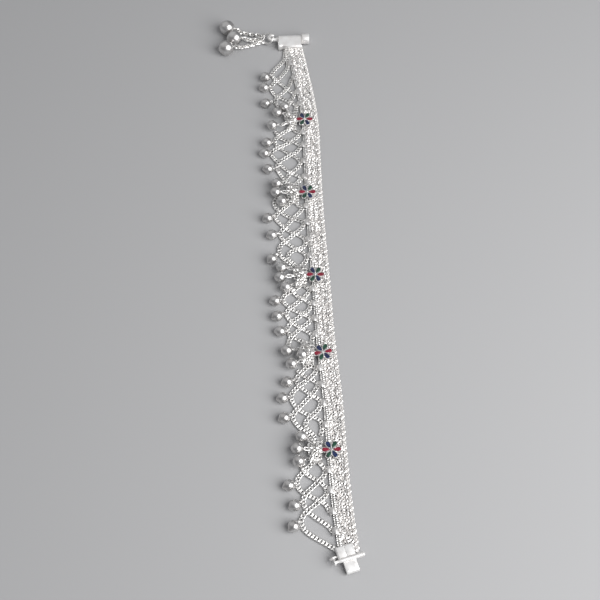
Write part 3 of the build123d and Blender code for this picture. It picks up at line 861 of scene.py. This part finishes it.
def makeBellMaster(radius, tip):
    # the loop points along +Y; the tip is at the other end, with the slit under it
    size = radius / mm
    bpy.ops.mesh.primitive_uv_sphere_add(
        segments=bell["segments"], ring_count=bell["rings"], radius=radius,
        rotation=(math.radians(90), 0, 0),
    )
    ball = added()
    editPoints(ball, lambda p: p.y < -size * outermost)
    shiftBy(
        0, -tip, 0, use_proportional_edit=True, proportional_edit_falloff="SMOOTH",
        proportional_size=bell["tipShare"] * radius,
    )
    doneEditing()
    slit = bell["slit"]
    editFaces(ball, lambda c, n: inSlit(c, size))
    bpy.ops.mesh.inset(thickness=slit["rim"] * mm, depth=slit["lip"] * mm)
    bpy.ops.mesh.extrude_region_shrink_fatten(
        TRANSFORM_OT_shrink_fatten={"value": -slit["depth"] * mm, "use_even_offset": False}
    )
    doneEditing()
    loop = ring(**bell["loop"])
    loop.location.y = (size + bell["loop"]["along"] / 2 - bell["loopSunk"]) * mm
    loop.rotation_euler = (0, math.radians(90), 0)
    settle(loop)
    look = bell["collar"]
    bpy.ops.mesh.primitive_cylinder_add(
        vertices=look["vertices"], radius=look["radius"] * mm, depth=look["height"] * mm,
        location=(0, (size + look["place"]) * mm, 0), rotation=(math.radians(90), 0, 0),
    )
    collar = added()
    editFaces(collar, lambda c, n: n.y > facing)
    bpy.ops.mesh.inset(thickness=look["inset"] * mm)
    shiftBy(0, look["rise"], 0)
    doneEditing()
    return joined([ball, loop, collar], "bell")


def hangBell(master, node, name, target=None):
    # target is where the jump ring takes hold; without one the loop is left bare
    middle, way, radius = bellPlace(node)
    parts = [copyAt(master, placed(middle, way, wobbleTurn(bell["rollSpread"])))]
    if target is not None:
        look = jumpRing
        hold = middle + way * (radius + look["grip"] * mm)
        gap = target - hold
        size = max(look["least"], gap.length / mm + look["spare"])
        jump = ring(look["across"], size, look["wire"], look["segments"], look["wireSegments"])
        parts.append(moved(jump, placed(hold + gap / 2, gap.normalized(), wobbleTurn(look["rollSpread"]))))
    finishPiece(parts, name, "bellSilver", [node], smoothAngle=60)


def makeBells():
    _, _, radius = bellPlace("edge_bell_01")
    master = makeBellMaster(radius, bell["edgeTip"])
    for number, (x, y) in enumerate(edgeHold["corners"], 1):
        hangBell(master, f"edge_bell_{number:02d}", f"edgeBell{number:02d}", lay(x, y, edgeHold["z"]))
    throwAway(master)
    _, _, radius = bellPlace("cluster_bell_01")
    master = makeBellMaster(radius, bell["tip"])
    for number in range(1, clusterHold["bells"] + 1):
        middle, way, radius = bellPlace(f"cluster_bell_{number:02d}")
        target = middle + way * (radius + clusterHold["reach"] * mm) - up * clusterHold["drop"] * mm
        hangBell(master, f"cluster_bell_{number:02d}", f"clusterBell{number:02d}", target)
    throwAway(master)
    _, _, radius = bellPlace("tassel_bell_1")
    master = makeBellMaster(radius, bell["tip"])
    for number in (1, 2, 3):
        hangBell(master, f"tassel_bell_{number}", f"tasselBell{number}")
    throwAway(master)


makeBells()
print("bells done")

# gathered chains and rings between each flower and its bells
flowers = [(2.2, 98.3, 0), (3.3, 55.6, 0), (6.7, 11.3, 0), (9.7, -26.9, 12), (12.6, -70.7, 2)]  # x, y, turn
station = {
    "bells": 3, "z": 1.55, "rollSpread": 9,
    "bundle": {"offset": -5.4, "half": 5.2, "rowGap": 0.85, "narrow": 0.5, "cut": 3},
    "arm": {"from": 0.4, "to": (-3.0, 0.2)},
    "cable": {"across": 1.75, "along": 2.3, "wire": 0.50, "segments": 10, "wireSegments": 5},
    "cablePitch": 1.3, "cableRise": 0.6, "cableReach": 2.2, "cableLeast": 1.2,
    "cableLean": 20, "cableSpread": 8,
    "hub": (-4.3, 0.1, 2.35),  # x, y from the flower's middle, and z: where the fan gathers
    "fan": [(-8.9, 5.4), (-9.4, 1.6), (-9.2, -1.6), (-8.0, -5.8)],  # x, y from the flower's middle
    "fanZ": 1.75, "fanSpread": 12,
    "rings": [  # x, y, z from the flower's middle, size, tilt
        (-7.3, 1.7, 2.55, 5.0, 8), (-7.6, 1.5, 2.85, 3.7, 14),
        (-7.1, 2.0, 3.05, 2.6, 4), (-6.4, -1.9, 2.6, 3.6, 24),
    ],
    "ring": {"wire": 0.50, "segments": 22, "wireSegments": 6}, "ringShort": 0.96, "tiltSpread": 4,
}


def besideFlower(index, x, y, z=0.0):
    flowerX, flowerY, _ = flowers[index]
    return lay(flowerX + x, flowerY + y, z)


def cableChain(start, end):
    # oval links, every other one turned on edge
    master = ring(**station["cable"])
    links = []
    for i, (point, way) in enumerate(walk([start, end], station["cablePitch"])):
        roll = math.radians(90 * (i % 2) + station["cableLean"] + wobble(station["cableSpread"]))
        links.append(copyAt(master, placed(point, way, roll)))
    throwAway(master)
    return links


def boxChain(boxLink, route, rollSpread=None):
    # box links along a route; without a spread they lie flat
    links = []
    for point, way in walk(route, net["pitch"]):
        roll = wobbleTurn(rollSpread) if rollSpread else 0.0
        links.append(copyAt(boxLink, placed(point, way, roll)))
    return links


def makeStations():
    boxLink = makeBoxLink()
    parts = []
    level = up * station["z"] * mm
    look = station["bundle"]
    for index in range(len(flowers)):
        for side in (-1, 1):
            # two rows past the flower; each draws in at one of its ends
            sideways = Vector((side * look["rowGap"] * mm, 0, 0))
            rows = [(look["half"], side < 0), (0, False), (-look["half"], side > 0)]
            route = []
            for rise, drawnIn in rows:
                away = sideways * (1 - look["narrow"] * drawnIn)
                route.append(besideFlower(index, look["offset"], rise) + away + level)
            parts += boxChain(boxLink, roundedRoute(route, look["cut"]), station["rollSpread"])
        foot = besideFlower(index, look["offset"], station["arm"]["from"]) + level
        parts += boxChain(boxLink, [foot, besideFlower(index, *station["arm"]["to"]) + level])
        hub = besideFlower(index, *station["hub"])
        for x, y in station["fan"]:
            end = besideFlower(index, x, y, station["fanZ"])
            parts += boxChain(boxLink, [hub, end], station["fanSpread"])
        for number in range(station["bells"]):
            node = f"cluster_bell_{station['bells'] * index + number + 1:02d}"
            middle, way, radius = bellPlace(node)
            end = middle + way * (radius + station["cableReach"] * mm)
            if (hub - end).length > station["cableLeast"] * mm:
                parts += cableChain(hub + up * station["cableRise"] * mm, end)
        for x, y, z, size, tilt in station["rings"]:
            jump = ring(size, size * station["ringShort"], **station["ring"])
            lean = math.radians(tilt + wobble(station["tiltSpread"]))
            parts.append(moved(jump, placed(besideFlower(index, x, y, z), Vector((0, 1, 0)), lean)))
    throwAway(boxLink)
    finishPiece(parts, "stationChains", "chainSilver", ["station_chains"])


makeStations()
print("station chains done")

petal = {
    "inner": 0.62, "place": 2.92, "radius": 0.86, "vertices": 28, "point": 1.75,
    "wall": 0.55, "rim": 0.30, "cup": 0.30, "lift": 0.12, "insets": (0.09, 0.10, 0.04),
    "colours": ["red", "green", "blue", "red", "green", "blue"], "turn": 60,  # degrees, from +X on
}
petalFill = {
    "inner": 0.70, "gap": 0.02, "sunk": 0.08, "side": 0.16,
    "dome": [(0.07, 0.93), (0.05, 0.87), (0.03, 0.75), (0.01, 0.5)],  # rise and size of each step
}
flowerEye = {"radius": 0.58, "height": 0.8, "vertices": 20, "insets": (0.14, 0.2, 0.2), "rise": 0.13}


def petalPlate(radius, height, inner):
    # a teardrop along +X with its point towards the middle
    bpy.ops.mesh.primitive_circle_add(
        vertices=petal["vertices"], radius=radius * mm, fill_type="NGON",
        location=(petal["place"] * mm, 0, height * mm),
    )
    blade = added()
    reach = petal["place"] - radius - inner
    editPoints(blade, lambda p: p.x < petal["place"] - radius * outermost)
    shiftBy(
        -reach, 0, 0, use_proportional_edit=True, proportional_edit_falloff="LINEAR",
        proportional_size=radius * petal["point"] * mm,
    )
    doneEditing()
    return blade


def makePetalCup(number):
    # the petal's wall, with a rounded rim round an open cup
    cup = petalPlate(petal["radius"] + petal["rim"], 0, petal["inner"] - petal["rim"])
    editFaces(cup, lambda c, n: True)
    extrudeBy(0, 0, petal["wall"])
    turnFacesOut()
    first, second, last = petal["insets"]
    editFaces(cup, lambda c, n: n.z > facing)
    shiftBy(0, 0, petal["lift"])
    bpy.ops.mesh.inset(thickness=first * mm)
    shiftBy(0, 0, petal["lift"])
    bpy.ops.mesh.inset(thickness=second * mm)
    bpy.ops.mesh.inset(thickness=last * mm)
    shiftBy(0, 0, -petal["cup"])
    doneEditing()
    cup.rotation_euler = (0, 0, math.radians(petal["turn"] * number))
    settle(cup)
    return cup


def makeFlowerMaster():
    parts = [makePetalCup(number) for number in range(len(petal["colours"]))]
    bpy.ops.mesh.primitive_cylinder_add(
        vertices=flowerEye["vertices"], radius=flowerEye["radius"] * mm,
        depth=flowerEye["height"] * mm, location=(0, 0, flowerEye["height"] / 2 * mm),
    )
    eye = added()
    editFaces(eye, lambda c, n: n.z > facing)
    for share in flowerEye["insets"]:
        bpy.ops.mesh.inset(thickness=share * flowerEye["radius"] * mm)
        shiftBy(0, 0, flowerEye["rise"])
    doneEditing()
    return joined(parts + [eye], "flower")


def makeEnamelMaster(number):
    look = petalFill
    fill = petalPlate(petal["radius"] - look["gap"], petal["wall"] - look["sunk"], look["inner"])
    editFaces(fill, lambda c, n: True)
    extrudeBy(0, 0, look["side"])
    # a low dome: the top is drawn in towards its own middle in steps
    for rise, size in look["dome"]:
        extrudeBy(0, 0, rise)
        bpy.ops.transform.resize(value=(size, size, 1))
    turnFacesOut()
    fill.rotation_euler = (0, 0, math.radians(petal["turn"] * number))
    settle(fill)
    return fill


def flowerMatrix(index):
    low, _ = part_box(f"flower_{index + 1}")
    x, y, turn = flowers[index]
    place = lay(x, y)
    place.z = low.z
    return Matrix.Translation(place) @ Matrix.Rotation(math.radians(turn), 4, "Z")


def makeFlowers():
    master = makeFlowerMaster()
    for index in range(len(flowers)):
        bloom = copyAt(master, flowerMatrix(index))
        name, node = f"flower{index + 1}", f"flower_{index + 1}"
        finishPiece([bloom], name, "flowerSilver", [node], smoothAngle=40)
    throwAway(master)
    for colour in ("red", "green", "blue"):
        fills = []
        for number, petalColour in enumerate(petal["colours"]):
            if petalColour == colour:
                fill = makeEnamelMaster(number)
                fills += [copyAt(fill, flowerMatrix(index)) for index in range(len(flowers))]
                throwAway(fill)
        node = f"enamel_{colour}"
        finishPiece(fills, colour + "Petals", colour + "Enamel", [node], smoothAngle=60)


makeFlowers()
print("flowers done")


# sheet and wire for the clasps
def plate(outline, low, high, rounding):
    # a closed plate over an outline, with softened edges
    bpy.ops.mesh.primitive_circle_add(vertices=len(outline), radius=mm, fill_type="NGON")
    sheet = bpy.context.object
    for point, (x, y) in zip(sheet.data.vertices, outline):
        point.co = Vector((x, y, low)) * mm
    editFaces(sheet, lambda c, n: True)
    extrudeBy(0, 0, high - low)
    turnFacesOut()
    soften(sheet, rounding, segments=3)
    return sheet


def barrel(start, end, y, z, look):
    # a closed bar along X with rounded ends
    bpy.ops.mesh.primitive_cylinder_add(
        vertices=look["vertices"], radius=look["radius"] * mm, depth=(end - start) * mm,
        location=((start + end) / 2 * mm, y * mm, z * mm), rotation=(0, math.radians(90), 0),
    )
    bar = added()
    soften(bar, look["rounding"], segments=4, angle=60)
    return bar


def wire(points, thickness):
    # a bent round wire; points are x, y, z and a share of the thickness
    bpy.ops.curve.primitive_nurbs_path_add()
    line = bpy.context.object.data
    line.splines.clear()
    spline = line.splines.new("NURBS")
    spline.points.add(len(points) - 1)
    for point, (x, y, z, share) in zip(spline.points, points):
        point.co = (x * mm, y * mm, z * mm, 1)
        point.radius = share
    spline.order_u = 3
    spline.use_endpoint_u = True
    line.resolution_u = 6
    line.bevel_depth = thickness / 2 * mm
    line.bevel_resolution = 5
    line.use_fill_caps = True
    line.dimensions = "3D"
    pickOnly(bpy.context.object)
    bpy.ops.object.convert(target="MESH")
    return added()


def arc(radius, angles):
    # points of a circle about the origin, by degrees
    turns = [math.radians(angle) for angle in angles]
    return [(radius * math.cos(turn), radius * math.sin(turn)) for turn in turns]


def prism(sideView, stations):
    # a closed bar along X with the given side view; the stations are where its outline can be moved
    bpy.ops.mesh.primitive_circle_add(vertices=len(sideView), radius=mm, fill_type="NGON")
    bar = bpy.context.object
    for point, (y, z) in zip(bar.data.vertices, sideView):
        point.co = Vector((stations[0], y, z)) * mm
    editFaces(bar, lambda c, n: True)
    for before, after in zip(stations, stations[1:]):
        extrudeBy(after - before, 0, 0)
    turnFacesOut()
    return bar


def cutAway(piece, cutter):
    cut = piece.modifiers.new("cut", "BOOLEAN")
    cut.operation = "DIFFERENCE"
    cut.object = cutter
    pickOnly(piece)
    bpy.ops.object.modifier_apply(modifier="cut")
    throwAway(cutter)


def claspMatrix(look):
    x, y = look["place"]
    return Matrix.Translation(lay(x, y)) @ Matrix.Rotation(math.radians(look["turn"]), 4, "Z")


farClasp = {
    "place": (-5.2, 149.7), "turn": 2.0, "left": -5.9, "edge": 0.14,
    "sideView": [  # y, z round the block, from its low front edge
        (-5.8, 0.5), (3.4, 0.5), (3.4, 1.4), (1.78, 3.3), (1.42, 4.0), (0.8, 4.42), (0, 4.6),
        (-0.9, 4.52), (-2.0, 4.28), (-3.4, 4.08), (-5.3, 3.92), (-5.8, 3.55),
    ],
    "front": [  # x, how far the front edge is drawn in there
        (-5.9, 0.9), (-5.4, 0.3), (-3.3, 1.0), (-1.2, 0.0), (5.8, 0.0),
    ],
    "frontY": -5.2,  # the front edge is all that lies in front of this line
    "crease": {"place": (-0.3, -1.1, 0), "normal": (0.72, -0.70, 0), "above": 3.7, "drop": 0.55},
    "slot": {  # round the pin in front, by degrees, and straight at the back
        "x": (-2.8, 3.2), "radius": 1.45, "round": range(24, 259, 26), "back": 4.0, "low": -0.5, "top": 3.3,
    },
}
claspPin = {
    "z": 2.7, "radius": 0.75, "sunk": 0.4, "rounding": 0.1, "vertices": 20,
    "knob": {"x": (5.9, 9.8), "radius": 2.6, "rounding": 0.6, "vertices": 32},
    "neck": {"before": 0.1, "after": 0.2, "radius": 1.7, "rounding": 0.05, "vertices": 20},
    "shoulder": [(0.3, 2.1), (-0.1, 1.9), (-0.7, 1.3), (-1.3, 1.2)],  # x from the block's left end, share
    "eye": {"x": -8.9, "radius": 1.55},
    "curl": [(-100, 1.2), (-140, 1.15), (-180, 1.1), (-220, 1.0), (-262, 0.9), (-305, 0.8)],  # degrees, share
}


def makeFarBlock():
    look, crease, slot = farClasp, farClasp["crease"], farClasp["slot"]
    block = prism(look["sideView"], [x for x, _ in look["front"]])
    for x, inward in look["front"]:
        editPoints(block, lambda p: abs(p.x - x) < touch and p.y < look["frontY"])
        shiftBy(0, inward, 0)
        doneEditing()
    # the sheet is creased across its top: the left of the crease falls away to the end
    editFaces(block, lambda c, n: True)
    bpy.ops.mesh.bisect(plane_co=Vector(crease["place"]) * mm, plane_no=crease["normal"])
    doneEditing()
    editPoints(block, lambda p: p.x < look["left"] + touch and p.z > crease["above"])
    shiftBy(0, 0, -crease["drop"])
    doneEditing()
    # the slot for the other clasp's hook, open at the back
    cutView = [(0, slot["low"]), (slot["back"], slot["low"]), (slot["back"], slot["top"])]
    cutView += [(y, claspPin["z"] + z) for y, z in arc(slot["radius"], slot["round"])]
    cutAway(block, prism(cutView, slot["x"]))
    soften(block, look["edge"], segments=2, angle=38)
    return block


def makeClaspPin():
    look, knob, neck, eye = claspPin, claspPin["knob"], claspPin["neck"], claspPin["eye"]
    z, left = look["z"], farClasp["left"]
    start, end = knob["x"]
    rod = barrel(left - look["sunk"], start + look["sunk"], 0, z, look)
    ball = barrel(start, end, 0, z, knob)
    collar = barrel(start - neck["before"], start + neck["after"], 0, z, neck)
    # the shoulder by the block, then the rod, which curls up to hold the tassel's ring
    hookPoints = [(left + x, 0, z, share) for x, share in look["shoulder"]]
    curl = arc(eye["radius"], [angle for angle, _ in look["curl"]])
    for (x, rise), (_, share) in zip(curl, look["curl"]):
        hookPoints.append((eye["x"] + x, 0, z + eye["radius"] + rise, share))
    return joined([rod, ball, collar, wire(hookPoints, 2 * look["radius"])], "pin")


def makeFarClasp():
    place = claspMatrix(farClasp)
    block = moved(makeFarBlock(), place)
    finishPiece([block], "farClasp", "claspSilver", ["far_clasp"], smoothAngle=35)
    pin = moved(makeClaspPin(), place)
    finishPiece([pin], "claspPin", "claspSilver", ["clasp_pin"])


nearClasp = {
    "place": (17.3, -112.2), "turn": 17.5,
    "cap": {"x": 7.0, "y": 4.8, "low": 0.2, "high": 3.15, "edge": 0.34},
    "panel": {"high": 3.42, "sunk": 0.3, "gap": 0.07, "side": 0.3, "front": 0.3, "back": 0.25, "edge": 0.22},
    "loop": [  # x, y, z and share of the wire's thickness
        (-3.3, -0.6, 0.9, 1), (-4.3, -0.8, 0.8, 1), (-5.7, -1.0, 0.9, 1), (-6.5, -1.1, 1.8, 1),
        (-6.1, -1.1, 2.8, 1), (-5.1, -1.0, 3.1, 1), (-4.2, -0.9, 2.6, 1), (-4.0, -0.9, 1.9, 0.9),
    ],
    "loopWire": 0.85,
    "solder": [(-2.6, 0.75, 2.9, 0.8), (-0.4, 0.7, 2.95, 1.2), (2.2, 0.75, 2.9, 0.8)],  # y from the rod
    "solderWire": 0.8,
}
crossRod = {
    "y": -3.1, "z": 3.2, "middle": 0.45, "length": 12.1, "wire": 1.5,
    "points": [  # x from its left end, y from its line, share of the wire's thickness
        (0.3, 0, 0.85), (1.4, 0, 0.72), (2.2, 0, 0.9), (3.4, 0.05, 1.15), (6.4, 0.05, 1.2), (8.2, 0, 1.25),
        (11.1, 0, 1.25), (11.7, 0, 1.2),
    ],
    "disc": {"length": 0.6, "radius": 1.2, "rounding": 0.22, "vertices": 20},
    "tip": {"radius": 0.95, "inward": 0.6, "segments": 20, "rings": 12},
}
hookStrip = {
    "width": 5.1, "thickness": 0.55, "reach": 7.1, "radius": 1.3, "low": 0.1, "runs": (-1.0, -3.0, -5.2),
    "curl": range(65, -61, -25), "lip": 4.6, "lipRun": 0.6, "lipRise": 0.12, "columns": 4, "edge": 0.12,
}


def makeHookStrip():
    # a flat strip: one edge is extruded along the hook's side view
    look = hookStrip
    middle = look["radius"] - look["thickness"] / 2
    curlZ = look["low"] + look["radius"]
    sideView = [(y, curlZ + middle) for y in look["runs"] + (-look["reach"],)]
    sideView += [(-look["reach"] - y, curlZ + z) for y, z in arc(middle, [*look["curl"], -90])]
    sideView.append((-look["lip"] - look["lipRun"], curlZ - middle))
    sideView.append((-look["lip"], curlZ - middle + look["lipRise"]))
    bpy.ops.mesh.primitive_plane_add(size=mm)
    strip = added()
    editFaces(strip, lambda c, n: True)
    bpy.ops.mesh.merge(type="CENTER")
    doneEditing()
    strip.data.vertices[0].co = Vector((crossRod["middle"] - look["width"] / 2, *sideView[0])) * mm
    editPoints(strip, lambda p: True)
    for (y1, z1), (y2, z2) in zip(sideView, sideView[1:]):
        extrudeBy(0, y2 - y1, z2 - z1)
    bpy.ops.mesh.select_all(action="SELECT")
    for _ in range(look["columns"]):
        extrudeBy(look["width"] / look["columns"], 0, 0)
    turnFacesOut()
    thicken(strip, look["thickness"], offset=0)
    soften(strip, look["edge"], segments=2, angle=50)
    return strip


def makeCrossRod():
    # a bent rod with a disc at its left end and a round tip at its right
    look, disc, tip = crossRod, crossRod["disc"], crossRod["tip"]
    y, z = look["y"], look["z"]
    start = look["middle"] - look["length"] / 2
    end = start + look["length"]
    button = barrel(start, start + disc["length"], y, z, disc)
    rod = wire([(start + x, y + aside, z, share) for x, aside, share in look["points"]], look["wire"])
    bpy.ops.mesh.primitive_uv_sphere_add(
        segments=tip["segments"], ring_count=tip["rings"], radius=tip["radius"] * mm,
        location=((end - tip["inward"]) * mm, y * mm, z * mm),
    )
    ball = added()
    return [button, rod, ball]


def makeNearClasp():
    look, cap, panel = nearClasp, nearClasp["cap"], nearClasp["panel"]
    halfX, halfY = cap["x"] / 2, cap["y"] / 2
    outline = [(-halfX, halfY), (-halfX, -halfY), (halfX, -halfY), (halfX, halfY)]
    parts = [plate(outline, cap["low"], cap["high"], cap["edge"])]
    back, front = halfY - panel["back"], -halfY + panel["front"]
    for left, right in ((-halfX + panel["side"], -panel["gap"]), (panel["gap"], halfX - panel["side"])):
        outline = [(left, back), (left, front), (right, front), (right, back)]
        parts.append(plate(outline, cap["high"] - panel["sunk"], panel["high"], panel["edge"]))
    parts += makeCrossRod()
    parts.append(makeHookStrip())
    parts.append(wire(look["loop"], look["loopWire"]))
    solder = [(x, crossRod["y"] + y, z, share) for x, y, z, share in look["solder"]]
    parts.append(wire(solder, look["solderWire"]))
    whole = moved(joined(parts, "clasp"), claspMatrix(look))
    finishPiece([whole], "nearClasp", "claspSilver", ["near_clasp"], smoothAngle=35)


tasselRing = {"radius": 2.65, "wire": 0.95, "segments": (32, 10), "swing": 12, "tilt": 28, "lean": 26}
tasselChain = {
    "routes": [  # x, y on each chain, from the ring to the last bend before its bell
        [(-18.2, 152.2), (-19.9, 153.5), (-25.8, 154.5), (-30.1, 155.6)],
        [(-18.4, 151.0), (-19.9, 151.2), (-25.0, 150.1)],
        [(-18.2, 149.4), (-19.9, 148.9), (-24.1, 147.4), (-28.6, 145.5)],
    ],
    "link": {"across": 2.5, "along": 3.05, "wire": 0.82, "segments": 14, "wireSegments": 7},
    "pitch": 1.5, "cut": 4, "z": 1.25, "ringY": 150.9, "ringZ": 1.9, "bellZ": 3.2, "bellReach": 0.9,
    "fan": 14, "rollSpread": 9, "yawSpread": 6,
}


def makeTassel():
    size = 2 * tasselRing["radius"] + tasselRing["wire"]
    hoop = ring(size, size, tasselRing["wire"], *tasselRing["segments"])
    turn = Matrix.Translation(boxCentre("tassel_ring"))
    for amount, axis in ((-tasselRing["swing"], "Z"), (-tasselRing["tilt"], "Y"), (tasselRing["lean"], "X")):
        turn = turn @ Matrix.Rotation(math.radians(amount), 4, axis)
    finishPiece([moved(hoop, turn)], "tasselRing", "chainSilver", ["tassel_ring"])

    look = tasselChain
    links = []
    master = ring(**look["link"])
    for number, points in enumerate(look["routes"], 1):
        middle, way, radius = bellPlace(f"tassel_bell_{number}")
        end = middle + way * (radius + look["bellReach"] * mm)
        end.z = look["bellZ"] * mm
        # the chain's first link follows the leaning ring
        lift = (points[0][1] - look["ringY"]) * math.tan(math.radians(tasselRing["lean"]))
        route = [lay(*points[0], look["ringZ"] + lift)]
        route += [lay(x, y, look["z"]) for x, y in points[1:]] + [end]
        for i, (point, way) in enumerate(walk(roundedRoute(route, look["cut"]), look["pitch"])):
            roll = math.radians(90 * (i % 2) + look["fan"] * (number - 2) + wobble(look["rollSpread"]))
            links.append(copyAt(master, placed(point, way, roll, wobbleTurn(look["yawSpread"]))))
    throwAway(master)
    finishPiece(links, "tasselChains", "chainSilver", ["tassel_chains"])


makeFarClasp()
makeNearClasp()
makeTassel()
print("clasps and tassel done")
